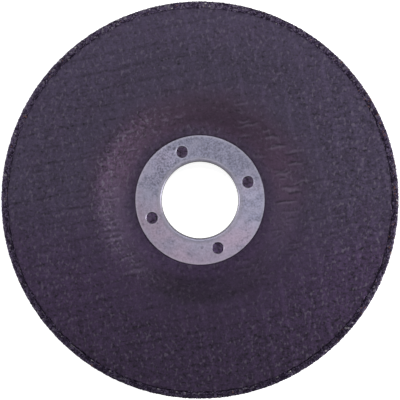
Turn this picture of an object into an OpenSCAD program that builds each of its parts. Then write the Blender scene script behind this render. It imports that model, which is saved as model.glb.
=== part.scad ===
// Depressed-centre grinding wheel for a hand-held grinder: a cranked disc of bonded abrasive grain,
// a fibrous facing sheet pressed over its recess side and a sheet-metal ring that lines its bore.
// It lies recess side up: Z runs along the bore, and z = 0 is the back face of the raised hub.
// Lengths are in millimetres and angles in degrees.

/* [Wheel] */
// Outer diameter of the wheel
wheel_d = 115; // [100:0.5:125]
// Thickness of the wheel at its rim, facing sheet included
wheel_t = 6; // [5:0.1:8]
// Thickness of the wheel square to its slope
slope_t = 5.5; // [4.8:0.1:6.2]
// Width of the bare grain band that the facing sheet leaves free at the rim
rim_band = 1.9; // [1:0.1:5]
// Chamfer on the outer edges of the rim
rim_chamfer = 0.4; // [0.2:0.1:1]

/* [Depressed centre] */
// How far the rim stands above the recess floor
centre_depth = 4.6; // [3.6:0.1:6]
// Diameter at which the recess floor would meet the slope if the corner were sharp
recess_d = 45; // [43:0.5:50]
// Steepness of the slope between hub and rim
slope_angle = 36; // [30:1:45]
// Radius of the rounded corners on the recess side
recess_round = 5.3; // [3:0.1:7]
// Radius of the outer edge of the hub's back
hub_round = 8; // [5:0.5:10]
// Radius of the hollow corner where the back's slope meets the rim
back_round = 3; // [2:0.5:5]

/* [Facing sheet] */
// Thickness of the facing sheet between the ridges
facing_t = 0.3; // [0.2:0.05:0.6]
// Open crevice between the sheet's edge and the bare grain band
facing_gap = 0.15; // [0.1:0.05:0.5]

/* [Mesh imprint] */
// Height of the ridges that the strands of the glass mesh press into the sheet
strand_h = 0.1; // [0.05:0.05:0.3]
// Width of the strands that run up and down
warp_w = 1.3; // [0.8:0.1:2]
// Spacing of the strands that run up and down
warp_pitch = 5.98; // [4:0.01:8]
// Width of the strands that run across
weft_w = 0.9; // [0.6:0.1:2]
// Spacing of the strands that run across
weft_pitch = 4.64; // [3.5:0.01:8]
// Turn of the mesh about the bore
mesh_turn = 11; // [0:1:45]

/* [Creases] */
// Depth of the creases where the sheet was drawn down the slope
crease_depth = 0.1; // [0.05:0.01:0.12]
// Width of a crease
crease_w = 0.35; // [0.2:0.05:0.8]
// Mean spacing of the creases
crease_pitch = 2.3; // [1.8:0.1:4]
// How far a crease strays from its even place
crease_stray = 0.6; // [0:0.1:0.8]
// Turn of the creases about the bore
crease_turn = 8; // [0:1:45]

/* [Arbor ring] */
// Bore of the ring's collar, the size of the spindle flange's boss
bore_d = 22.23; // [20:0.01:25.4]
// Outer diameter of the ring's flange
ring_d = 37.7; // [34:0.1:40]
// Sheet thickness of the ring
ring_t = 0.5; // [0.4:0.05:0.8]
// Inside radius of the bend between flange and collar
bend_round = 0.3; // [0.2:0.05:0.6]
// Height of the ring's face above the facing sheet around it
ring_proud = 0.25; // [0.1:0.05:0.35]
// How far the collar ends short of the hub's back face
collar_short = 0.3; // [0.2:0.1:2]
// Clearance between the ring and the parts it is set in
ring_clearance = 0.05; // [0.02:0.01:0.2]
// Broken edge round the flange
ring_chamfer = 0.12; // [0.05:0.01:0.2]
// Number of small anchor holes in the flange
hole_count = 4; // [2:1:8]
// Diameter of the anchor holes
hole_d = 3.3; // [2:0.1:4]
// Metal left between an anchor hole and the flange's edge
hole_margin = 2.3; // [1:0.1:2.8]
// Broken edge round each anchor hole
hole_break = 0.15; // [0.05:0.05:0.25]
// Turn of the first anchor hole about the bore
hole_turn = 20.5; // [0:0.5:90]

/* [Hidden] */
$fn = 180;

wheel_r = wheel_d / 2;
facing_r = wheel_r - rim_band;
bore_r = bore_d / 2;
ring_r = ring_d / 2;
hole_circle_r = ring_r - hole_margin - hole_d / 2;

// heights, from the hub's back face up
floor_z = wheel_t - strand_h;
ring_sink = ring_t - ring_proud;
flange_z = floor_z - ring_sink;
ring_top_z = flange_z + ring_t;
rim_back_z = centre_depth;
rim_top_z = wheel_t + centre_depth;

// the back's slope runs parallel to the recess's, slope_t below it
back_foot_r = recess_d / 2 + (slope_t / cos(slope_angle) - floor_z) / tan(slope_angle);

// the ring's bend, and what it is set in
bend_out = bend_round + ring_t;
body_bore_r = bore_r + ring_t + ring_clearance;
facing_bore_r = bore_r + bend_out + ring_clearance;

// where the slope's rounded top ends and the flat that shows the mesh begins
slope_out_r = recess_d / 2 + centre_depth / tan(slope_angle) + recess_round * tan(slope_angle / 2);

// cuts run this far past the faces that they open
past = 1;

// One rounded corner of the cranked line: the sliver between the corner and its tangent arc.
// turn is 1 at the foot, where the line bends up, and -1 at the top, where it levels off.
module corner_sliver(corner, radius, turn) {
    run = radius * tan(slope_angle / 2);
    along_slope = run * [cos(slope_angle), sin(slope_angle)];
    difference() {
        polygon([corner, corner - [turn * run, 0], corner + turn * along_slope]);
        translate(corner + [-turn * run, turn * radius]) circle(radius);
    }
}

// Everything under a cranked line, as half of a section: level out to foot_r, up the slope, level again.
module under_line(foot_r, level_z, foot_radius, top_radius) {
    foot = [foot_r, level_z];
    top = foot + centre_depth * [1 / tan(slope_angle), 1];
    difference() {
        union() {
            polygon([[0, -past], [0, level_z], foot, top, [wheel_r + past, top[1]], [wheel_r + past, -past]]);
            corner_sliver(foot, foot_radius, 1);
        }
        corner_sliver(top, top_radius, -1);
    }
}

// Everything under the recess side's face, raised square to itself by rise.
module under_face(rise) {
    under_line(recess_d / 2 - rise * tan(slope_angle / 2), floor_z + rise,
               recess_round - rise, recess_round + rise);
}

// The shallow seat of the ring's flange, pressed into a face that lies rise above the facing's.
module flange_seat(rise) {
    seat_r = ring_r + ring_clearance - rise * tan(45 / 2);
    seat_z = flange_z + rise;
    polygon([[0, seat_z], [seat_r, seat_z], [seat_r + ring_sink + past, seat_z + ring_sink + past],
             [0, seat_z + ring_sink + past]]);
}

// The part of a half section between two radii.
module between(inner_r, outer_r) {
    intersection() {
        translate([inner_r, -past]) square([outer_r - inner_r, rim_top_z + 2 * past]);
        children();
    }
}

// The rim stands past the facing sheet's edge, bare, with both of its outer edges broken.
module rim_section() {
    band_r = facing_r + facing_gap;
    polygon([[band_r, rim_back_z], [wheel_r - rim_chamfer, rim_back_z], [wheel_r, rim_back_z + rim_chamfer],
             [wheel_r, rim_top_z - rim_chamfer], [wheel_r - rim_chamfer, rim_top_z], [band_r, rim_top_z]]);
}

module body_section() {
    difference() {
        between(body_bore_r, facing_r + 2 * facing_gap) difference() {
            under_face(-facing_t);
            flange_seat(-facing_t);
        }
        under_line(back_foot_r, 0, hub_round, back_round);
        // the mouth of the bore gives room to the ring's bend
        translate([body_bore_r, flange_z - facing_t]) rotate(45) square(2 * bend_round * sin(45), center = true);
    }
    rim_section();
}

module abrasive_body() {
    color("dimgray") rotate_extrude() body_section();
}

module facing_section() {
    between(facing_bore_r, facing_r) difference() {
        under_face(0);
        flange_seat(0);
        difference() {
            under_face(-facing_t);
            flange_seat(-facing_t);
        }
    }
}

// Parallel strips across the wheel, spaced evenly on both sides of the bore but for their stray.
module strips(pitch, width, outer_r, stray = 0) {
    reach = floor(outer_r / pitch);
    for (i = [-reach : reach])
        translate([i * pitch + stray * sin(137 * i), 0]) square([width, 2 * outer_r], center = true);
}

// The strands of the glass mesh under the sheet stand out of its flat part as low ridges.
module strand_ridges() {
    root = facing_t / 2;
    translate([0, 0, rim_top_z - strand_h - root]) linear_extrude(strand_h + root)
        intersection() {
            difference() {
                circle(facing_r);
                circle(slope_out_r);
            }
            rotate(mesh_turn) {
                strips(warp_pitch, warp_w, facing_r);
                rotate(90) strips(weft_pitch, weft_w, facing_r);
            }
        }
}

// Shallow creases run across the slope, all one way, as the sheet folded when it was drawn down.
// Their floor is straight up the slope, so they run out where the sheet bends over to the rim.
module creases() {
    along = [cos(slope_angle), sin(slope_angle)];
    sunk_foot = [recess_d / 2, floor_z] + crease_depth * [sin(slope_angle), -cos(slope_angle)];
    start = sunk_foot + recess_round * tan(slope_angle / 2) / 2 * along;
    end = sunk_foot + centre_depth / sin(slope_angle) * along;
    intersection() {
        rotate_extrude() polygon([start, end, end + [0, past], start + [0, past]]);
        linear_extrude(rim_top_z + 2 * past) rotate(crease_turn + 90)
            strips(crease_pitch, crease_w, slope_out_r, crease_stray);
    }
}

module facing_sheet() {
    color("#483d50") {
        difference() {
            rotate_extrude() facing_section();
            creases();
        }
        strand_ridges();
    }
}

module ring_section() {
    bend_centre = [bore_r + bend_out, ring_top_z - bend_out];
    // flange, with its outer edges broken
    polygon([[bend_centre[0], flange_z], [ring_r - ring_chamfer, flange_z], [ring_r, flange_z + ring_chamfer],
             [ring_r, ring_top_z - ring_chamfer], [ring_r - ring_chamfer, ring_top_z],
             [bend_centre[0], ring_top_z]]);
    // bend
    intersection() {
        translate(bend_centre) difference() {
            circle(bend_out);
            circle(bend_round);
        }
        translate([bore_r, bend_centre[1]]) square(bend_out);
    }
    // collar
    translate([bore_r, collar_short]) square([ring_t, bend_centre[1] - collar_short]);
}

// What is taken out of the flange for one anchor hole: the hole and its broken upper edge.
module anchor_hole() {
    translate([0, 0, flange_z - past]) cylinder(d = hole_d, h = ring_t + 2 * past);
    translate([0, 0, ring_top_z - hole_break])
        cylinder(d1 = hole_d, d2 = hole_d + 4 * hole_break, h = 2 * hole_break);
}

module arbor_ring() {
    color("#9a93a6") difference() {
        rotate_extrude() ring_section();
        for (i = [0 : hole_count - 1])
            rotate(hole_turn + i * 360 / hole_count) translate([hole_circle_r, 0]) anchor_hole();
    }
}

abrasive_body();
facing_sheet();
arbor_ring();
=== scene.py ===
import math
import random

import bmesh
import bpy
import numpy as np
from mathutils import Matrix, Vector, noise


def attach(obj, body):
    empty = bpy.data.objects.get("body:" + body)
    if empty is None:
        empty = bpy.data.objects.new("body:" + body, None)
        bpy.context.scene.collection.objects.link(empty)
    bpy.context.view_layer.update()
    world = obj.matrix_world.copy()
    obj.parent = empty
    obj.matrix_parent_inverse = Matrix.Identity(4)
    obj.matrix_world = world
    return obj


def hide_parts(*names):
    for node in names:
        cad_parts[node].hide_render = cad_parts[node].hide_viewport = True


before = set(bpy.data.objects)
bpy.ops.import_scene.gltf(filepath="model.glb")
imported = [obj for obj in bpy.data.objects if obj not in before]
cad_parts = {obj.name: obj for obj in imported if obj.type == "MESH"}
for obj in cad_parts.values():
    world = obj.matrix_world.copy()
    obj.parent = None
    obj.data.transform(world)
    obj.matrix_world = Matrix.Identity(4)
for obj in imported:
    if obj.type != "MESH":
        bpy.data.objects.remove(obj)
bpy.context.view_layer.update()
mm = 0.001

print("stage: section and turning tools")


# a closed section is walked corner by corner: (radius, height, rounding, row size up to that corner), in mm
def drawSection(bm, corners):
    rowSize = bm.edges.layers.float.new("rowSize")
    spots = [Vector((r * mm, 0, z * mm)) for r, z, rounding, rows in corners]
    pen = None
    for i, here in enumerate(spots):
        rounding, rows = corners[i][2] * mm, corners[i][3] * mm
        back = (spots[i - 1] - here).normalized()
        ahead = (spots[(i + 1) % len(spots)] - here).normalized()
        turn = math.pi - back.angle(ahead)
        run = rounding * math.tan(turn / 2)
        if pen is None:
            pen = first = bm.verts.new(here + back * run)
        else:
            pen = drawLine(bm, pen, here + back * run, rowSize, rows)
        if rounding:
            middle = here + (back + ahead).normalized() * rounding / math.cos(turn / 2)
            pen = drawArc(bm, pen, middle, here + ahead * run, turn, rows)
    closing = bm.edges.new((pen, first))
    closing[rowSize] = corners[0][3] * mm
    splitRows(bm, rowSize)


def drawLine(bm, pen, goal, rowSize, rows):
    tip = bm.verts.new(goal)
    edge = bm.edges.new((pen, tip))
    edge[rowSize] = rows
    return tip


def drawArc(bm, pen, middle, goal, turn, rows):
    steps = max(3, round(turn * (pen.co - middle).length / rows))
    axis = (pen.co - middle).cross(goal - middle).normalized()
    made = bmesh.ops.spin(bm, geom=[pen], cent=middle, axis=axis, angle=turn, steps=steps)
    return [g for g in made["geom_last"] if isinstance(g, bmesh.types.BMVert)][0]


def splitRows(bm, rowSize):
    def cutsFor(edge):
        return max(0, round(edge.calc_length() / edge[rowSize]) - 1) if edge[rowSize] else 0
    for cuts in sorted({cutsFor(edge) for edge in bm.edges} - {0}, reverse=True):
        bmesh.ops.subdivide_edges(bm, edges=[edge for edge in bm.edges if cutsFor(edge) == cuts], cuts=cuts)


# one sector is spun from the section and then repeated round the axis, which is much quicker than one long spin
def turnedPiece(name, corners, steps, sectors=24):
    bm = bmesh.new()
    drawSection(bm, corners)
    share = 2 * math.pi / sectors
    bmesh.ops.spin(bm, geom=bm.verts[:] + bm.edges[:], cent=(0, 0, 0), axis=(0, 0, 1),
                   angle=share, steps=steps // sectors)
    bmesh.ops.spin(bm, geom=bm.verts[:] + bm.edges[:] + bm.faces[:], cent=(0, 0, 0), axis=(0, 0, 1),
                   angle=2 * math.pi - share, steps=sectors - 1, use_duplicate=True)
    bmesh.ops.remove_doubles(bm, verts=bm.verts, dist=0.002 * mm)
    bmesh.ops.recalc_face_normals(bm, faces=bm.faces)
    return pieceFrom(bm, name)


def pieceFrom(bm, name, smooth=True):
    mesh = bpy.data.meshes.new(name)
    for face in bm.faces:
        face.smooth = smooth
    bm.to_mesh(mesh)
    bm.free()
    piece = bpy.data.objects.new(name, mesh)
    bpy.context.scene.collection.objects.link(piece)
    print("   ", name, len(mesh.polygons), "faces")
    return piece


def readPoints(mesh):
    places = np.zeros(len(mesh.vertices) * 3)
    facing = np.zeros(len(mesh.vertices) * 3)
    mesh.vertices.foreach_get("co", places)
    mesh.vertex_normals.foreach_get("vector", facing)
    return places.reshape(-1, 3) / mm, facing.reshape(-1, 3)


def writePoints(mesh, places):
    mesh.vertices.foreach_set("co", (places * mm).astype(np.float32).ravel())
    mesh.update()


def writeMask(mesh, name, values):
    layer = mesh.attributes.new(name, "FLOAT", "POINT")
    layer.data.foreach_set("value", values.astype(np.float32))


def ramp(low, high, values):
    share = np.clip((values - low) / (high - low), 0, 1)
    return share * share * (3 - 2 * share)


def softNoise(places, size, shift=0.0):
    offset = Vector((shift, shift * 1.7, -shift))
    return np.array([noise.noise(Vector(p) / size + offset) for p in places])


print("stage: facing sheet")

sheet = {
    "boreRadius": 11.965, "edgeRadius": 55.6, "thickness": 0.3,
    "floor": 5.9, "rimFloor": 10.5, "footRadius": 22.5, "topRadius": 28.831, "rounding": 5.3,
    "seatRadius": 18.9, "seatDepth": 0.25,
    "turns": 720, "rowSize": 0.43,
    "warpPitch": 5.98, "warpWidth": 1.3, "weftPitch": 4.64, "weftWidth": 0.9, "meshTurn": 11,
    "strandHeight": 0.085, "unevenness": 0.022, "edgeWander": 0.4,
    "creaseDepth": 0.1, "creaseWidth": 0.28, "seed": 7,
}
# creases all run nearly sideways: where they lie (in mm), how long and deep they are and how much they climb
creaseFields = [
    {"side": 1, "low": -3, "high": 22, "step": (2.2, 3.6), "reach": (24, 30), "half": (2.2, 4.8),
     "depth": (1.0, 1.5), "lipAndHighlight": 1.3, "lean": 7},
    {"side": 1, "low": 2, "high": 28, "step": (1.7, 3.0), "reach": (21, 31), "half": (0.9, 2.6),
     "depth": (0.4, 0.9), "lipAndHighlight": 1.5, "lean": 2},
    {"side": -1, "low": -23, "high": -4, "step": (1.2, 1.9), "reach": (25.5, 29), "half": (2.6, 5.0),
     "depth": (0.35, 0.7), "lipAndHighlight": 1.05, "lean": 10},
    {"side": -1, "low": -5, "high": 12, "step": (1.2, 2.4), "reach": (25, 29.5), "half": (1.0, 3.4),
     "depth": (0.4, 0.85), "lipAndHighlight": 1.2, "lean": 4},
    {"side": -1, "low": 10, "high": 26, "step": (0.9, 1.6), "reach": (24, 31), "half": (0.7, 2.2),
     "depth": (0.45, 0.95), "lipAndHighlight": 1.5, "lean": 8},
    {"side": 1, "low": -27, "high": -4, "step": (1.3, 2.4), "reach": (22, 31), "half": (1.2, 3.6),
     "depth": (0.25, 0.55), "lipAndHighlight": 1.0, "lean": 8},
    {"side": 1, "low": -16, "high": 14, "step": (1.6, 3.6), "reach": (32, 46), "half": (2.0, 6.0),
     "depth": (0.2, 0.5), "lipAndHighlight": 1.0, "lean": 8},
    {"side": -1, "low": -24, "high": 18, "step": (1.6, 3.4), "reach": (31, 52), "half": (2.0, 6.0),
     "depth": (0.2, 0.5), "lipAndHighlight": 1.0, "lean": 4},
]


def sheetCorners():
    t = sheet["thickness"]
    lift = t * math.tan(math.radians(18))
    fine, coarse = sheet["rowSize"], 3.5
    seat = sheet["floor"] - sheet["seatDepth"]
    seatEnd = sheet["seatRadius"] + sheet["seatDepth"]
    seatLift = t * math.tan(math.radians(22.5))
    return [
        (sheet["boreRadius"], seat - t, 0, 0.3),
        (sheet["boreRadius"], seat, 0, 0.3),
        (sheet["seatRadius"], seat, 0, 1.2),
        (seatEnd, sheet["floor"], 0, 0.2),
        (sheet["footRadius"], sheet["floor"], sheet["rounding"], fine),
        (sheet["topRadius"], sheet["rimFloor"], sheet["rounding"], fine),
        (sheet["edgeRadius"], sheet["rimFloor"], 0, fine),
        (sheet["edgeRadius"], sheet["rimFloor"] - t, 0, 0.3),
        (sheet["topRadius"] + lift, sheet["rimFloor"] - t, sheet["rounding"] - t, coarse),
        (sheet["footRadius"] + lift, sheet["floor"] - t, sheet["rounding"] + t, coarse),
        (seatEnd + seatLift, sheet["floor"] - t, 0, coarse),
        (sheet["seatRadius"] + seatLift, seat - t, 0, 0.5),
    ]


# distance from the middle of the nearest strand, and that strand's number
def strandAt(along, pitch):
    number = np.round(along / pitch)
    return along - number * pitch, number


def strandBump(distance, width):
    return np.clip(1 - (distance / (width / 2 * 1.25)) ** 2, 0, 1)


def meshRelief(places, wander):
    turn = math.radians(sheet["meshTurn"])
    x = places[:, 0] + wander[0]
    y = places[:, 1] + wander[1]
    across = x * math.cos(turn) + y * math.sin(turn)
    along = -x * math.sin(turn) + y * math.cos(turn)
    warpGap, warpNumber = strandAt(across, sheet["warpPitch"])
    weftGap, weftNumber = strandAt(along, sheet["weftPitch"])
    warp = strandBump(warpGap, sheet["warpWidth"])
    weft = strandBump(weftGap, sheet["weftWidth"])
    over = np.where((warpNumber + weftNumber) % 2 == 0, 1.0, 0.55)
    return warp, weft, over, weftGap


def drawCreases(places):
    random.seed(sheet["seed"])
    mask = np.zeros(len(places))
    lips = np.zeros(len(places))
    radius = np.hypot(places[:, 0], places[:, 1])
    near = np.where(radius > 19)[0]
    spots = places[near]
    for field in creaseFields:
        height = field["low"]
        while height < field["high"]:
            height += random.uniform(*field["step"])
            band = random.uniform(*field["reach"])
            if abs(height) < band - 0.5:
                x = field["side"] * math.sqrt(band * band - height * height)
                dark, light = oneCrease(spots, x, height, field)
                mask[near] += dark
                lips[near] += light
    return np.clip(mask, 0, 1.2), np.clip(lips, 0, 1)


def oneCrease(spots, x, y, field):
    turn = math.radians(field["lean"] + random.gauss(0, 4))
    half = random.uniform(*field["half"])
    bend = random.uniform(-0.04, 0.04)
    width = sheet["creaseWidth"] * random.uniform(0.8, 1.3)
    depth = random.uniform(*field["depth"])
    wave, phase = random.uniform(0.05, 0.2), random.uniform(0, 6)
    lipSide = random.choice((-1, -1, 1))
    dx, dy = spots[:, 0] - x, spots[:, 1] - y
    along = dx * math.cos(turn) + dy * math.sin(turn)
    across = dy * math.cos(turn) - dx * math.sin(turn) - bend * along ** 2 - wave * np.sin(1.9 * along + phase)
    taper = np.clip(1 - (along / half) ** 2, 0, 1) * depth
    dark = taper * np.exp(-(across / width) ** 2)
    # the lip beside each crease is raised, and its mask also paints a highlight on it
    light = taper * 0.9 * field["lipAndHighlight"] * np.exp(-((across - lipSide * 1.7 * width) / (1.2 * width)) ** 2)
    return dark, light


# painted light and shade on the sheet: lighter next to the ring, under the ring's holes and on the slope's left and
# right, darker on the slope's top and bottom and towards the bottom, with a little random tone
def paintedLightShadeField(places, radius):
    onSlope = ramp(21.5, 24, radius) * ramp(31.5, 28.5, radius)
    side, up = places[:, 0] / radius, places[:, 1] / radius
    sideways = side ** 2
    tone = 1 + (0.14 + 0.36 * sideways - 0.12 * ramp(0.2, 1, up)) * ramp(24.5, 19.5, radius)
    tone += onSlope * (0.3 * sideways - 0.24 - 0.17 * ramp(0, 20, -places[:, 1]))
    tone += 0.2 * ramp(26, 28.5, radius) * ramp(31.5, 29.8, radius) * ramp(0, 22, -places[:, 0])
    tone += 0.13 * ramp(27.8, 28.8, radius) * ramp(30.8, 29.6, radius) * ramp(0.5, 0.9, abs(side))
    tone -= 0.08 * ramp(22, 23.2, radius) * ramp(26.5, 25, radius) * ramp(0.3, 0.9, side)
    tone -= 0.12 * ramp(29.5, 31, radius) * ramp(34, 32, radius) * ramp(0, 22, places[:, 0])
    tone -= (0.13 * ramp(0, 45, -places[:, 1]) + 0.05 * ramp(15, 45, places[:, 1])) * ramp(20, 40, radius)
    tone *= 1 - (0.02 + 0.14 * up ** 2) * ramp(25, 27.5, radius) * ramp(47, 41, radius)
    tone *= 1 + 0.09 * ramp(44, 53, radius) * ramp(-0.4, 0.4, up) - 0.1 * ramp(41, 46, radius) * ramp(0.6, 0.9, -up)
    tone -= 0.1 * onSlope * ramp(0.5, 0.9, -0.71 * side - 0.71 * up)
    # painted light under the ring, seen through its holes, where the lamps hardly reach
    tone += 0.7 * ramp(18.6, 18, radius)
    return tone + 0.07 * softNoise(places, 7, 4.2) * (1 + 1.5 * onSlope * sideways)


# how rough the sheet looks: calm round the slope's top and bottom, coarser outwards and to the right
def gripField(places, radius):
    side, up = places[:, 0] / radius, places[:, 1] / radius
    grip = np.interp(radius, (17.5, 18.9, 21.5, 23, 30, 36, 40, 50), (3.6, 1.0, 0.9, 0.58, 0.6, 0.64, 1.0, 1.08))
    onSlope = ramp(21, 23, radius) * ramp(33, 30, radius)
    grip *= 1 - 0.32 * up ** 4 * onSlope + 0.3 * side ** 4 * ramp(27, 30, radius) * ramp(40, 36, radius)
    blotchy = 1.1 * ramp(0.3, 0.8, -side) * ramp(23.5, 27.5, radius) * (1 - 0.6 * ramp(0.1, 0.6, -up))
    grip *= 1 + onSlope * (0.6 * ramp(0.75, 1, 0.66 * up - 0.75 * side) + blotchy)
    outer = ramp(35, 42, radius)
    return grip * (1 + outer * (0.2 * ramp(0.3, 0.9, side) + 0.12 * ramp(0.5, 1, 0.9 * side - 0.4 * up) - 0.16 * ramp(0.4, 0.95, up)))


def makeFacing():
    piece = turnedPiece("facing", sheetCorners(), sheet["turns"])
    mesh = piece.data
    places, facing = readPoints(mesh)
    radius = np.hypot(places[:, 0], places[:, 1])
    upper = ramp(0.35, 0.75, facing[:, 2])
    wander = (0.5 * softNoise(places, 11, 3.1), 0.5 * softNoise(places, 11, 9.4))
    warp, weft, over, weftGap = meshRelief(places, wander)
    patchy = 0.75 + 0.5 * softNoise(places, 9, 1.3)
    onFlat = 0.25 + 0.75 * ramp(29.5, 33, radius)
    relief = np.maximum(warp * over, weft * (1.45 - over) * 0.7) * patchy * onFlat
    creases, lips = drawCreases(places)
    slow = softNoise(places, 6, 5.5)
    quick = softNoise(places, 1.1, 2.2)
    beyondSeat = ramp(sheet["seatRadius"], sheet["seatRadius"] + 0.8, radius)
    height = sheet["strandHeight"] * relief + sheet["unevenness"] * (slow - 0.4 + 0.5 * quick)
    height += sheet["creaseDepth"] * (0.7 * lips - creases)
    top = places[:, 2] + 0.0
    places += facing * (height * upper * beyondSeat)[:, None]
    places[:, 2] = np.minimum(places[:, 2], np.maximum(top, sheet["rimFloor"] + 0.095))
    edge = ramp(sheet["edgeRadius"] - 1.2, sheet["edgeRadius"], radius)
    direction = np.arctan2(places[:, 1], places[:, 0])
    around = np.c_[np.cos(direction), np.sin(direction), 0 * direction] * sheet["edgeRadius"]
    frayed = 0.25 + 0.9 * softNoise(around, 2.6, 6.1) + 0.8 * softNoise(around, 0.8, 4.4)
    inward = sheet["edgeWander"] * np.clip(frayed, 0, 1)
    places[:, :2] *= (1 - edge * inward / radius)[:, None]
    writePoints(mesh, places)
    # painted light and shade of the mesh under the sheet: upright strands lighter, more so on the right; sideways
    # strands darker, less so on the right
    rightSide = ramp(-15, 25, places[:, 0])
    weftLine = strandBump(weftGap, 0.62)
    writeMask(mesh, "warpStrandHighlight", warp * (0.7 + 0.3 * over) * patchy * onFlat * (0.7 + 0.6 * rightSide))
    writeMask(mesh, "weftStrandShade", weftLine * (1.3 - 0.4 * over) * patchy * onFlat * (1.2 - 0.7 * rightSide))
    writeMask(mesh, "crease", creases * beyondSeat)
    writeMask(mesh, "lipAndHighlight", lips * beyondSeat)
    # the tone attribute carries the sheet's painted light and shade
    writeMask(mesh, "tone", paintedLightShadeField(places, radius))
    # painted shade: a deeper violet towards the bottom, which the light reaches less
    writeMask(mesh, "paintedShadeTint", 0.95 * ramp(-6, 25, -places[:, 1]) + 0.15 * slow)
    # browner towards the top, round the hub and on the slope
    brown = ramp(36, 26, radius) * (0.1 + 0.9 * ramp(-18, 14, places[:, 1])) * (0.4 + 0.6 * ramp(20, 23, radius))
    writeMask(mesh, "brownTint", brown + 0.2 * slow)
    writeMask(mesh, "grip", gripField(places, radius))
    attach(piece, "root")
    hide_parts("facing_sheet")
    return piece


facing = makeFacing()

print("stage: wheel body")

wheel = {
    "boreRadius": 11.665, "rimRadius": 57.5, "bandRadius": 55.75, "rimTop": 10.6, "rimBack": 4.6,
    "chamfer": 0.4, "footRadius": 22.597, "topRadius": 28.929, "floor": 5.6, "underSheet": 10.2,
    "backFoot": 23.737, "backTop": 30.068, "hubRound": 8, "backRound": 3,
    "turns": 720, "rowSize": 0.5, "grainDepth": 0.16, "grainSize": 0.75, "imprint": 0.07,
}


def wheelCorners():
    fine, coarse = wheel["rowSize"], 4
    rim, top, back, cut = wheel["rimRadius"], wheel["rimTop"], wheel["rimBack"], wheel["chamfer"]
    seat = wheel["floor"] - 0.25
    return [
        (wheel["boreRadius"], 0, 0, 0.5),
        (wheel["boreRadius"], seat - 0.3, 0, 1.3),
        (wheel["boreRadius"] + 0.3, seat, 0, 0.5),
        (19.024, seat, 0, coarse),
        (19.274, wheel["floor"], 0, 0.5),
        (wheel["footRadius"], wheel["floor"], 5.6, coarse),
        (wheel["topRadius"], wheel["underSheet"], 5.0, coarse),
        (wheel["bandRadius"] - 0.6, wheel["underSheet"], 0, 8),
        (wheel["bandRadius"], wheel["underSheet"], 0, 0.3),
        (wheel["bandRadius"], top, 0, 0.4),
        (rim - cut, top, 0, 0.34),
        (rim, top - cut, 0, 0.3),
        (rim, back + cut, 0, 0.4),
        (rim - cut, back, 0, 0.3),
        (wheel["backTop"], back, wheel["backRound"], fine),
        (wheel["backFoot"], 0, wheel["hubRound"], fine),
    ]


def grainRelief(places, size):
    rise = np.zeros(len(places))
    for i, place in enumerate(places):
        gaps, spots = noise.voronoi(Vector(place) / size)
        rise[i] = min(1.0, 1.6 * (gaps[1] - gaps[0])) * (0.55 + 0.45 * noise.cell(spots[0] * 7.3))
    return rise


def makeWheelBody():
    piece = turnedPiece("wheelBody", wheelCorners(), wheel["turns"])
    mesh = piece.data
    places, facing = readPoints(mesh)
    radius = np.hypot(places[:, 0], places[:, 1])
    underSheet = (facing[:, 2] > 0.2) & (radius < wheel["bandRadius"] + 0.05)
    inBore = radius < wheel["boreRadius"] + 0.4
    bare = ~(underSheet | inBore)
    rise = np.zeros(len(places))
    rise[bare] = grainRelief(places[bare], wheel["grainSize"])
    wander = (0.4 * softNoise(places, 12, 7.7), 0.4 * softNoise(places, 12, 1.9))
    warp, weft, over, weftGap = meshRelief(places, wander)
    below = ramp(0.5, 0.9, -facing[:, 2])
    strands = np.maximum(warp * over, weft * (1.45 - over)) * below * ramp(-0.6, 0.2, softNoise(places, 8, 3.3))
    sink = wheel["grainDepth"] * (1 - rise) * (1 - 0.6 * strands) + wheel["imprint"] * (1 - strands) * below
    places -= facing * (sink * bare)[:, None]
    places[:, 2] = np.clip(places[:, 2], 0, wheel["rimTop"])
    restZone = (places[:, 2] < 0.02 + wheel["grainDepth"] + wheel["imprint"]) & (radius < 21) & (radius > 13)
    places[restZone & (rise > 0.9), 2] = 0  # the highest grains of the hub touch what the disc lies on
    writePoints(mesh, places)
    writeMask(mesh, "strand", strands)
    writeMask(mesh, "grainHeight", rise)
    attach(piece, "root")
    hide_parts("abrasive_body")
    return piece


wheelBody = makeWheelBody()

print("stage: loose-edged grains of the rim")

grains = {"count": 5200, "kinds": 14, "meanSize": 0.36, "spread": 0.3, "seed": 21}


def grainKinds():
    kinds = []
    for i in range(grains["kinds"]):
        bm = bmesh.new()
        bmesh.ops.create_icosphere(bm, subdivisions=1, radius=1)
        stretch = (1, random.uniform(0.6, 0.95), random.uniform(0.5, 0.85))
        bmesh.ops.scale(bm, vec=stretch, verts=bm.verts)
        for vert in bm.verts:
            vert.co *= random.uniform(0.72, 1.18)
        mesh = bpy.data.meshes.new("grainKind")
        bm.to_mesh(mesh)
        bm.free()
        kinds.append(mesh)
    return kinds


# a place on the bare rim: its band, outer side or back edge, with the way out of the surface
def rimPlace():
    angle = random.uniform(0, 2 * math.pi)
    share = random.random()
    rim, cut = wheel["rimRadius"], wheel["chamfer"]
    if share < 0.36:
        radius, height, out = random.uniform(wheel["bandRadius"] - 0.35, rim - cut), wheel["rimTop"], (0, 1)
    elif share < 0.44:
        radius, height, out = rim - cut / 2, wheel["rimTop"] - cut / 2, (0.7, 0.7)
    elif share < 0.86:
        radius, height, out = rim, random.uniform(wheel["rimBack"] + cut, wheel["rimTop"] - cut), (1, 0)
    elif share < 0.92:
        radius, height, out = rim - cut / 2, wheel["rimBack"] + cut / 2, (0.7, -0.7)
    else:
        radius, height, out = random.uniform(rim - 4, rim - cut), wheel["rimBack"], (0, -1)
    return angle, radius, height, out


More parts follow.
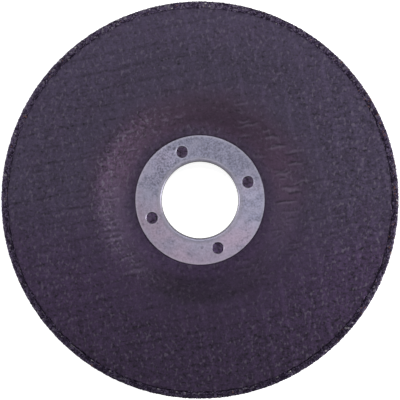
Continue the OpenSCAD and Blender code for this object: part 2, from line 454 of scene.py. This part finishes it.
# partly painted shade and light on the rim's grains: dark clusters gather where the sheet ends and towards the
# bottom, grains are lighter towards the top, and the outermost grains are paler
def grainShade(place, radius, height):
    inward = (wheel["rimRadius"] - radius) / (wheel["rimRadius"] - wheel["bandRadius"]) if height > 10 else 0.4
    cluster = noise.noise(place / 1.6) + 0.6 * noise.noise(place / 0.7)
    # painted light and shade: fewer dark grains, and lighter ones, towards the top
    towardsTop = (0.98 * place.y - 0.17 * place.x) / wheel["rimRadius"]
    if cluster + 0.5 * inward > 0.44 + 0.3 * towardsTop + random.uniform(-0.2, 0.2):
        return random.uniform(0.0, 0.36)
    glint = 0.3 if random.random() < 0.06 * (1 - inward) ** 2 else 0
    return min(1.0, random.uniform(0.38, 0.8) + 0.12 * (1 - inward) + 0.12 * towardsTop + glint)


def makeRimGrains():
    random.seed(grains["seed"])
    kinds = grainKinds()
    bm = bmesh.new()
    shades, rusts = [], []
    for i in range(grains["count"]):
        angle, radius, height, out = rimPlace()
        size = grains["meanSize"] * random.uniform(1 - grains["spread"], 1 + grains["spread"])
        sunk = size * random.uniform(0.35, 0.8)
        radius -= out[0] * sunk
        height -= out[1] * sunk
        place = Vector((radius * math.cos(angle), radius * math.sin(angle), height)) * mm
        spin = Matrix.Rotation(random.uniform(0, 6.28), 4, Vector([random.uniform(-1, 1) for k in range(3)]))
        put = Matrix.Translation(place) @ spin @ Matrix.Scale(size * mm, 4)
        kind = random.choice(kinds)
        kind.transform(put)
        bm.from_mesh(kind)
        kind.transform(put.inverted())
        shades += [grainShade(place / mm, radius, height)] * len(kind.vertices)
        rusts += [float(random.random() < (0.09 if place.x > 0.8 * radius * mm else 0.02))] * len(kind.vertices)
    bmesh.ops.recalc_face_normals(bm, faces=bm.faces)
    piece = pieceFrom(bm, "rimGrains", smooth=False)
    mesh = piece.data
    places, facing = readPoints(mesh)
    radius = np.hypot(places[:, 0], places[:, 1])
    places[:, :2] *= np.minimum(1, wheel["rimRadius"] / radius)[:, None]
    places[:, :2] *= np.maximum(1, (wheel["bandRadius"] - 0.6) / radius)[:, None] ** (places[:, 2:3] > 10)
    places[:, 2] = np.clip(places[:, 2], wheel["rimBack"], wheel["rimTop"])
    writePoints(mesh, places)
    writeMask(mesh, "shade", np.array(shades))
    writeMask(mesh, "rust", np.array(rusts))
    for kind in kinds:
        bpy.data.meshes.remove(kind)
    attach(piece, "root")
    return piece


rimGrains = makeRimGrains()

print("stage: materials")


def addNode(tree, kind, **values):
    node = tree.nodes.new(kind)
    for name, value in values.items():
        setattr(node, name, value)
    return node


def link(tree, start, end):
    tree.links.new(start, end)


# a sum, product or other step between values or sockets
def mathStep(tree, operation, a, b=None, c=None, clamp=False):
    node = addNode(tree, "ShaderNodeMath", operation=operation, use_clamp=clamp)
    for socket, value in zip(node.inputs, (a, b, c)):
        if value is None:
            continue
        if isinstance(value, (int, float)):
            socket.default_value = value
        else:
            link(tree, value, socket)
    return node.outputs[0]


def mixColours(tree, share, a, b, blend="MIX"):
    node = addNode(tree, "ShaderNodeMix", data_type="RGBA", blend_type=blend)
    sockets = (node.inputs[0], node.inputs[6], node.inputs[7])
    for socket, value in zip(sockets, (share, a, b)):
        if isinstance(value, (int, float)):
            socket.default_value = value
        elif isinstance(value, tuple):
            socket.default_value = (*value, 1)
        else:
            link(tree, value, socket)
    return node.outputs[2]


def rangeStep(tree, value, low, high, newLow=0.0, newHigh=1.0, smooth=True):
    node = addNode(tree, "ShaderNodeMapRange", interpolation_type="SMOOTHSTEP" if smooth else "LINEAR")
    link(tree, value, node.inputs[0])
    for socket, number in zip(node.inputs[1:5], (low, high, newLow, newHigh)):
        socket.default_value = number
    return node.outputs[0]


def noiseStep(tree, place, scale, detail=2.0, stretch=None, turn=0.0, shift=0.0):
    mapping = addNode(tree, "ShaderNodeMapping")
    mapping.inputs["Rotation"].default_value = (0, 0, math.radians(turn))
    mapping.inputs["Scale"].default_value = stretch or (1, 1, 1)
    mapping.inputs["Location"].default_value = (shift, shift * 0.7, 0)
    link(tree, place, mapping.inputs[0])
    node = addNode(tree, "ShaderNodeTexNoise")
    node.inputs["Scale"].default_value = scale
    node.inputs["Detail"].default_value = detail
    link(tree, mapping.outputs[0], node.inputs["Vector"])
    return node.outputs[0]


def attributeStep(tree, name):
    return addNode(tree, "ShaderNodeAttribute", attribute_name=name).outputs["Fac"]


def newGroup(name, inputs, outputs):
    tree = bpy.data.node_groups.new(name, "ShaderNodeTree")
    for label, kind, value in inputs:
        socket = tree.interface.new_socket(name=label, in_out="INPUT", socket_type=kind)
        if value is not None:
            socket.default_value = value
    for label, kind in outputs:
        tree.interface.new_socket(name=label, in_out="OUTPUT", socket_type=kind)
    return tree, tree.nodes.new("NodeGroupInput"), tree.nodes.new("NodeGroupOutput")


# fine uneven tone of about one: blotches of a chosen size with a finer speckle in them
def mottleGroup():
    tree, start, end = newGroup(
        "mottle",
        [("Vector", "NodeSocketVector", None), ("Blotches", "NodeSocketFloat", 400.0),
         ("Blotch Contrast", "NodeSocketFloat", 0.3), ("Speckle", "NodeSocketFloat", 2200.0),
         ("Speckle Contrast", "NodeSocketFloat", 0.3)],
        [("Tone", "NodeSocketFloat"), ("Height", "NodeSocketFloat")])
    parts = []
    for size, contrast in (("Blotches", "Blotch Contrast"), ("Speckle", "Speckle Contrast")):
        texture = addNode(tree, "ShaderNodeTexNoise")
        texture.inputs["Detail"].default_value = 3
        link(tree, start.outputs["Vector"], texture.inputs["Vector"])
        link(tree, start.outputs[size], texture.inputs["Scale"])
        centred = mathStep(tree, "SUBTRACT", texture.outputs[0], 0.5)
        parts.append(mathStep(tree, "MULTIPLY", mathStep(tree, "MULTIPLY", centred, 2.0), start.outputs[contrast]))
    total = mathStep(tree, "ADD", parts[0], parts[1])
    link(tree, mathStep(tree, "ADD", total, 1.0), end.inputs["Tone"])
    link(tree, total, end.inputs["Height"])
    return tree


# packed angular cells of abrasive: a tone for each grain, the dark gaps between them and a height
def grainGroup():
    tree, start, end = newGroup(
        "packedGrain",
        [("Vector", "NodeSocketVector", None), ("Cells", "NodeSocketFloat", 1400.0)],
        [("Tone", "NodeSocketFloat"), ("Gap", "NodeSocketFloat"), ("Height", "NodeSocketFloat")])
    cells = addNode(tree, "ShaderNodeTexVoronoi", feature="F1", distance="CHEBYCHEV")
    edges = addNode(tree, "ShaderNodeTexVoronoi", feature="DISTANCE_TO_EDGE")
    for texture in (cells, edges):
        link(tree, start.outputs["Vector"], texture.inputs["Vector"])
        link(tree, start.outputs["Cells"], texture.inputs["Scale"])
    split = addNode(tree, "ShaderNodeSeparateColor")
    link(tree, cells.outputs["Color"], split.inputs[0])
    link(tree, split.outputs[0], end.inputs["Tone"])
    link(tree, rangeStep(tree, edges.outputs["Distance"], 0.0, 0.12, 1.0, 0.0), end.inputs["Gap"])
    flat = mathStep(tree, "MULTIPLY", split.outputs[1], 0.6)
    slope = mathStep(tree, "MULTIPLY", cells.outputs["Distance"], -0.7)
    link(tree, mathStep(tree, "ADD", flat, slope), end.inputs["Height"])
    return tree


mottle = mottleGroup()
packedGrain = grainGroup()


def newMaterial(name, roughness, specular, metallic=0.0):
    material = bpy.data.materials.new(name)
    material.use_nodes = True
    tree = material.node_tree
    shader = tree.nodes["Principled BSDF"]
    shader.inputs["Roughness"].default_value = roughness
    shader.inputs["Specular IOR Level"].default_value = specular
    shader.inputs["Metallic"].default_value = metallic
    place = addNode(tree, "ShaderNodeTexCoord").outputs["Object"]
    return material, tree, shader, place


def placeGroup(tree, group, place, values):
    node = addNode(tree, "ShaderNodeGroup", node_tree=group)
    link(tree, place, node.inputs["Vector"])
    for name, value in values.items():
        node.inputs[name].default_value = value
    return node


def addBump(tree, shader, height, strength, distance, below=None):
    bump = addNode(tree, "ShaderNodeBump")
    bump.inputs["Strength"].default_value = strength
    bump.inputs["Distance"].default_value = distance * mm
    link(tree, height, bump.inputs["Height"])
    if below is not None:
        link(tree, below, bump.inputs["Normal"])
    link(tree, bump.outputs[0], shader.inputs["Normal"])
    return bump.outputs[0]


# distance from the bore's axis in mm
def radiusStep(tree, place):
    flat = addNode(tree, "ShaderNodeVectorMath", operation="MULTIPLY")
    flat.inputs[1].default_value = (1000, 1000, 0)
    link(tree, place, flat.inputs[0])
    length = addNode(tree, "ShaderNodeVectorMath", operation="LENGTH")
    link(tree, flat.outputs[0], length.inputs[0])
    return length.outputs["Value"]


# a place pushed about by a noise, so that the cells laid on it curl
def bentPlace(tree, place, scale, amount):
    texture = addNode(tree, "ShaderNodeTexNoise")
    texture.inputs["Scale"].default_value = scale
    texture.inputs["Detail"].default_value = 1
    link(tree, place, texture.inputs["Vector"])
    centred = addNode(tree, "ShaderNodeVectorMath", operation="SUBTRACT")
    centred.inputs[1].default_value = (0.5, 0.5, 0.5)
    link(tree, texture.outputs["Color"], centred.inputs[0])
    moved = addNode(tree, "ShaderNodeVectorMath", operation="MULTIPLY_ADD")
    moved.inputs[1].default_value = (amount, amount, amount)
    link(tree, centred.outputs[0], moved.inputs[0])
    link(tree, place, moved.inputs[2])
    return moved.outputs[0]


# how near a place is to the middle of its cell: about 0.4 in the middle, below 0 between the cells
def pebbleStep(tree, place, scale):
    cells = addNode(tree, "ShaderNodeTexVoronoi", feature="SMOOTH_F1")
    cells.inputs["Scale"].default_value = scale
    cells.inputs["Smoothness"].default_value = 0.25
    link(tree, place, cells.inputs["Vector"])
    return mathStep(tree, "SUBTRACT", 0.42, cells.outputs["Distance"])


fibreLook = {
    "violetGrey": (0.046, 0.0345, 0.067), "deepViolet": (0.0500, 0.0285, 0.0720),
    "brownPurple": (0.0525, 0.0290, 0.058), "paleFibre": (0.105, 0.088, 0.125), "roughness": 0.8, "specular": 0.03,
    "pebbleSize": 1.0, "pebbleTone": 0.5, "threadTone": 0.5, "darkFleck": -0.45,
    "foldShadow": (0.012, 0.005, 0.018), "paintedSheen": (0.0125, 0.0125, 0.0125),
}


def fibreMaterial():
    look = fibreLook
    material, tree, shader, place = newMaterial("facingFibre", look["roughness"], look["specular"])
    # painted shade: towards the bottom the sheet turns a deeper violet
    colour = mixColours(tree, attributeStep(tree, "paintedShadeTint"), look["violetGrey"], look["deepViolet"])
    colour = mixColours(tree, attributeStep(tree, "brownTint"), colour, look["brownPurple"])
    fine = placeGroup(tree, mottle, place, {"Blotches": 300.0, "Blotch Contrast": 0.13,
                                            "Speckle": 1900.0, "Speckle Contrast": 0.5})
    pebbles = pebbleStep(tree, bentPlace(tree, place, 500, 0.0012), 1000 / look["pebbleSize"])
    lightFlecks = rangeStep(tree, noiseStep(tree, place, 1250, 1, (1, 0.6, 1), -11, 7.0), 0.54, 0.76)
    darkFlecks = rangeStep(tree, noiseStep(tree, place, 1150, 1, (0.75, 1, 1), -11, 3.0), 0.54, 0.76)
    upThreads = noiseStep(tree, place, 1300, 2, (1, 0.35, 1), -11)
    sideThreads = noiseStep(tree, place, 1300, 2, (0.35, 1, 1), -11, 4.0)
    threads = mathStep(tree, "SUBTRACT", mathStep(tree, "ADD", upThreads, sideThreads), 1.0)
    shade = mathStep(tree, "MULTIPLY_ADD", threads, look["threadTone"], fine.outputs["Height"])
    shade = mathStep(tree, "MULTIPLY_ADD", pebbles, look["pebbleTone"], shade)
    shade = mathStep(tree, "MULTIPLY_ADD", darkFlecks, look["darkFleck"], shade)
    # the tone attribute brings in the sheet's painted light and shade
    shade = mathStep(tree, "MULTIPLY_ADD", shade, attributeStep(tree, "grip"), attributeStep(tree, "tone"))
    for name, weight in (("warpStrandHighlight", 0.2), ("weftStrandShade", -0.26), ("crease", -0.3), ("lipAndHighlight", 0.3)):
        shade = mathStep(tree, "MULTIPLY_ADD", attributeStep(tree, name), weight, shade)
    shade = mathStep(tree, "MAXIMUM", shade, 0.2)
    colour = mixColours(tree, 1.0, colour, shade, "MULTIPLY")
    # painted shade in the creases: darker, and mixed towards the fold shadow colour
    folded = mathStep(tree, "MULTIPLY", attributeStep(tree, "crease"), 0.72, clamp=True)
    colour = mixColours(tree, folded, colour, look["foldShadow"])
    pale = mathStep(tree, "MULTIPLY", mathStep(tree, "MULTIPLY", lightFlecks, attributeStep(tree, "grip")), 0.6)
    # painted highlight: the lips beside the creases are lighter and mixed towards the pale fibre colour
    pale = mathStep(tree, "MULTIPLY_ADD", attributeStep(tree, "lipAndHighlight"), 0.35, pale, clamp=True)
    colour = mixColours(tree, pale, colour, look["paleFibre"])
    # painted sheen: an even grey added over the sheet's colour
    colour = mixColours(tree, 1.0, colour, look["paintedSheen"], "ADD")
    link(tree, colour, shader.inputs["Base Color"])
    rough = mathStep(tree, "MULTIPLY_ADD", threads, -0.3, look["roughness"], clamp=True)
    link(tree, rough, shader.inputs["Roughness"])
    fuzz = noiseStep(tree, place, 2600, 3)
    height = mathStep(tree, "MULTIPLY_ADD", fuzz, 0.35, mathStep(tree, "MULTIPLY_ADD", pebbles, 0.5, sideThreads))
    height = mathStep(tree, "MULTIPLY", height, attributeStep(tree, "grip"))
    addBump(tree, shader, height, 0.5, 0.12)
    return material


grainLook = {
    "resin": (0.010, 0.006, 0.016), "darkGrain": (0.022, 0.014, 0.034), "midGrain": (0.066, 0.049, 0.092),
    "paleGrain": (0.120, 0.104, 0.140), "lightGrain": (0.30, 0.28, 0.30), "strand": (0.10, 0.09, 0.095),
    "rust": (0.13, 0.062, 0.045),
    "roughness": 0.7, "specular": 0.08,
}


def grainColour(tree, tone):
    rampNode = addNode(tree, "ShaderNodeValToRGB")
    stops = rampNode.color_ramp.elements
    stops[0].position, stops[0].color = 0.0, (*grainLook["resin"], 1)
    stops[1].position, stops[1].color = 1.0, (*grainLook["lightGrain"], 1)
    for position, key in ((0.3, "darkGrain"), (0.4, "midGrain"), (0.78, "midGrain"), (0.88, "paleGrain"),
                          (0.95, "paleGrain")):
        stop = stops.new(position)
        stop.color = (*grainLook[key], 1)
    link(tree, tone, rampNode.inputs[0])
    return rampNode.outputs[0]


def bodyMaterial():
    look = grainLook
    material, tree, shader, place = newMaterial("bondedGrain", look["roughness"], look["specular"])
    cells = placeGroup(tree, packedGrain, place, {"Cells": 1350.0})
    tone = placeGroup(tree, mottle, place, {"Blotches": 160.0, "Blotch Contrast": 0.35,
                                            "Speckle": 3500.0, "Speckle Contrast": 0.35})
    colour = grainColour(tree, cells.outputs["Tone"])
    colour = mixColours(tree, cells.outputs["Gap"], colour, look["resin"])
    strand = mathStep(tree, "MULTIPLY", attributeStep(tree, "strand"), 0.72)
    colour = mixColours(tree, strand, colour, look["strand"])
    colour = mixColours(tree, 1.0, colour, tone.outputs["Tone"], "MULTIPLY")
    link(tree, colour, shader.inputs["Base Color"])
    height = mathStep(tree, "MULTIPLY_ADD", tone.outputs["Height"], 0.3, cells.outputs["Height"])
    addBump(tree, shader, height, 0.7, 0.25)
    return material


def looseGrainMaterial():
    look = grainLook
    material, tree, shader, place = newMaterial("crushedGrain", 0.6, 0.1)
    tone = placeGroup(tree, mottle, place, {"Blotches": 1500.0, "Blotch Contrast": 0.4,
                                            "Speckle": 5000.0, "Speckle Contrast": 0.3})
    colour = grainColour(tree, attributeStep(tree, "shade"))
    colour = mixColours(tree, mathStep(tree, "MULTIPLY", attributeStep(tree, "rust"), 0.7), colour, look["rust"])
    colour = mixColours(tree, 1.0, colour, tone.outputs["Tone"], "MULTIPLY")
    link(tree, colour, shader.inputs["Base Color"])
    addBump(tree, shader, tone.outputs["Height"], 0.4, 0.05)
    return material


zincLook = {
    "blueGrey": (0.196, 0.189, 0.252), "pinkGrey": (0.235, 0.190, 0.250), "stainAndShade": (0.118, 0.118, 0.168),
    "pit": (0.04, 0.04, 0.06), "edgeHighlight": (0.34, 0.325, 0.385), "bend": (0.205, 0.193, 0.233),
    "boreWallShade": (0.12, 0.121, 0.113), "roughness": 0.48,
    "pinkSide": 245, "stainAndShadeSide": 65, "paintedLightSide": -22, "paintedShadeSide": 67, "bendShadeSide": 260,
    "holeCircle": 14.9, "holeRadius": 1.65, "holeTurn": 20.5,
}


# distance from the nearest of the four small holes, in mm
def holeDistance(tree, place):
    nearest = None
    for k in range(4):
        angle = math.radians(zincLook["holeTurn"] + 90 * k)
        shift = addNode(tree, "ShaderNodeMapping")
        shift.inputs["Scale"].default_value = (1000, 1000, 0)
        shift.inputs["Location"].default_value = (-zincLook["holeCircle"] * math.cos(angle),
                                                  -zincLook["holeCircle"] * math.sin(angle), 0)
        link(tree, place, shift.inputs[0])
        length = addNode(tree, "ShaderNodeVectorMath", operation="LENGTH")
        link(tree, shift.outputs[0], length.inputs[0])
        here = length.outputs["Value"]
        nearest = here if nearest is None else mathStep(tree, "MINIMUM", nearest, here)
    return nearest


# grows from -1 to 1 across the ring towards one side, turned about the bore
def towardsSide(tree, place, degrees):
    node = addNode(tree, "ShaderNodeVectorMath", operation="DOT_PRODUCT")
    turn = math.radians(degrees)
    node.inputs[1].default_value = (math.cos(turn) * 53, math.sin(turn) * 53, 0)
    link(tree, place, node.inputs[0])
    return node.outputs["Value"]


def zincMaterial():
    look = zincLook
    material, tree, shader, place = newMaterial("zincRing", look["roughness"], 0.5, 0.85)
    radius = radiusStep(tree, place)
    pink = mathStep(tree, "MULTIPLY_ADD", towardsSide(tree, place, look["pinkSide"]), 0.3,
                    noiseStep(tree, place, 110, 2, shift=2.0))
    colour = mixColours(tree, rangeStep(tree, pink, 0.35, 0.75), look["blueGrey"], look["pinkGrey"])
    # stains from noise, with more of them towards one side as painted shade that darkens the ring's top
    stainedAndShaded = mathStep(tree, "MULTIPLY_ADD", towardsSide(tree, place, look["stainAndShadeSide"]), 0.2,
                       noiseStep(tree, place, 260, 4, shift=5.0))
    stainedAndShaded = rangeStep(tree, stainedAndShaded, 0.42, 0.64)
    colour = mixColours(tree, mathStep(tree, "MULTIPLY", stainedAndShaded, 0.6), colour, look["stainAndShade"])
    clouds = rangeStep(tree, noiseStep(tree, place, 150, 3, shift=9.0), 0.48, 0.72)
    colour = mixColours(tree, mathStep(tree, "MULTIPLY", clouds, 0.35), colour, look["stainAndShade"])
    pits = rangeStep(tree, noiseStep(tree, place, 620, 1, shift=1.0), 0.69, 0.75)
    colour = mixColours(tree, mathStep(tree, "MULTIPLY", pits, 0.4), colour, look["pit"])
    fine = placeGroup(tree, mottle, place, {"Blotches": 480.0, "Blotch Contrast": 0.16,
                                            "Speckle": 1900.0, "Speckle Contrast": 0.7})
    depth = mathStep(tree, "MULTIPLY_ADD", stainedAndShaded, 0.9, 0.55)
    shade = mathStep(tree, "MULTIPLY_ADD", fine.outputs["Height"], depth, 1.0)
    # painted light: the ring is lighter towards one side
    shade = mathStep(tree, "MULTIPLY_ADD", towardsSide(tree, place, look["paintedLightSide"]), 0.2, shade)
    # painted shade: darker across the upper right of the ring, a little lighter elsewhere
    paintedShadeDip = rangeStep(tree, towardsSide(tree, place, look["paintedShadeSide"]), 0.4, 0.8, 1.1, 0.78)
    shade = mathStep(tree, "MULTIPLY", shade, paintedShadeDip)
    colour = mixColours(tree, 1.0, colour, shade, "MULTIPLY")
    # painted highlight: paler round the ring's outer edge and round its four holes
    rim = rangeStep(tree, radius, 17.9, 18.7)
    halo = rangeStep(tree, holeDistance(tree, place), 2.3, 1.7)
    edgeHighlight = mathStep(tree, "MULTIPLY", mathStep(tree, "MAXIMUM", rim, halo), 0.3)
    colour = mixColours(tree, edgeHighlight, colour, look["edgeHighlight"])
    bend = rangeStep(tree, radius, 12.5, 12.0)
    colour = mixColours(tree, mathStep(tree, "MULTIPLY", bend, 0.6), colour, look["bend"])
    # painted shade: the bend round the bore is darker towards the bottom
    bendShade = rangeStep(tree, towardsSide(tree, place, look["bendShadeSide"]), 0.35, 0.6, 0.0, 0.5)
    colour = mixColours(tree, mathStep(tree, "MULTIPLY", bend, bendShade), colour, look["stainAndShade"])
    # painted shade on the bore's wall, and a faint darker band just outside the bend
    boreWallShade = mathStep(tree, "MULTIPLY", rangeStep(tree, radius, 12.2, 12.45), rangeStep(tree, radius, 12.8, 12.5))
    boreWallShade = mathStep(tree, "MAXIMUM", mathStep(tree, "MULTIPLY", boreWallShade, 0.3), rangeStep(tree, radius, 11.35, 11.2))
    colour = mixColours(tree, mathStep(tree, "MULTIPLY", boreWallShade, 0.75), colour, look["boreWallShade"])
    link(tree, colour, shader.inputs["Base Color"])
    rough = mathStep(tree, "MULTIPLY_ADD", fine.outputs["Height"], 0.25, look["roughness"], clamp=True)
    link(tree, rough, shader.inputs["Roughness"])
    addBump(tree, shader, fine.outputs["Height"], 0.35, 0.05)
    return material


def dress(piece, material):
    piece.data.materials.clear()
    piece.data.materials.append(material)


dress(facing, fibreMaterial())
dress(wheelBody, bodyMaterial())
dress(rimGrains, looseGrainMaterial())
dress(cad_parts["arbor_ring"], zincMaterial())

print("stage: floor, light and camera")

studio = {
    "floorSize": 6.0, "floorColour": (0.82, 0.82, 0.82), "floorGlow": 0.88, "skyOnObject": 0.1,
    "cameraHeight": 0.9, "frameWidth": 0.11558, "framePlane": 0.0102,
}
lamps = [
    {"name": "rightLamp", "place": (0.253, -0.045, 0.051), "size": (0.09, 0.05), "power": 1.08},
    {"name": "leftLamp", "place": (-0.257, 0.0, 0.051), "size": (0.09, 0.05), "power": 0.64},
    {"name": "topLamp", "place": (0.004, 0.0591, 0.114), "size": (0.05, 0.03), "power": 0.08},
]


def seenDirectly(tree):
    path = addNode(tree, "ShaderNodeLightPath")
    seen = mathStep(tree, "MAXIMUM", path.outputs["Is Camera Ray"], path.outputs["Is Glossy Ray"])
    return mathStep(tree, "MAXIMUM", seen, path.outputs["Is Transmission Ray"])


def makeFloor():
    bm = bmesh.new()
    bmesh.ops.create_grid(bm, x_segments=1, y_segments=1, size=studio["floorSize"] / 2)
    floor = pieceFrom(bm, "floor")
    material, tree, shader, place = newMaterial("paleFloor", 0.9, 0.1)
    shader.inputs["Base Color"].default_value = (*studio["floorColour"], 1)
    shader.inputs["Emission Color"].default_value = (1, 1, 1, 1)
    glow = mathStep(tree, "MULTIPLY", seenDirectly(tree), studio["floorGlow"])
    link(tree, glow, shader.inputs["Emission Strength"])
    dress(floor, material)


def makeSky():
    world = bpy.data.worlds.new("sky")
    bpy.context.scene.world = world
    world.use_nodes = True
    tree = world.node_tree
    background = tree.nodes["Background"]
    background.inputs["Color"].default_value = (1, 1, 1, 1)
    strength = rangeStep(tree, seenDirectly(tree), 0, 1, studio["skyOnObject"], 1.0, smooth=False)
    link(tree, strength, background.inputs["Strength"])


def makeLamps():
    for lamp in lamps:
        data = bpy.data.lights.new(lamp["name"], "AREA")
        data.shape = "RECTANGLE"
        data.size, data.size_y = lamp["size"]
        data.energy = lamp["power"]
        holder = bpy.data.objects.new(lamp["name"], data)
        holder.location = lamp["place"]
        aim = Vector((0, 0, 0.008)) - Vector(lamp["place"])
        holder.rotation_euler = aim.to_track_quat("-Z", "Y").to_euler()
        holder.visible_camera = False
        bpy.context.scene.collection.objects.link(holder)


def makeCamera():
    data = bpy.data.cameras.new("camera")
    camera = bpy.data.objects.new("camera", data)
    bpy.context.scene.collection.objects.link(camera)
    camera.location = (0, 0, studio["cameraHeight"])
    reach = studio["cameraHeight"] - studio["framePlane"]
    data.lens = data.sensor_width * reach / studio["frameWidth"]
    data.clip_end = 10
    bpy.context.scene.camera = camera


makeFloor()
makeSky()
makeLamps()
makeCamera()
bpy.context.scene.view_settings.view_transform = "Standard"
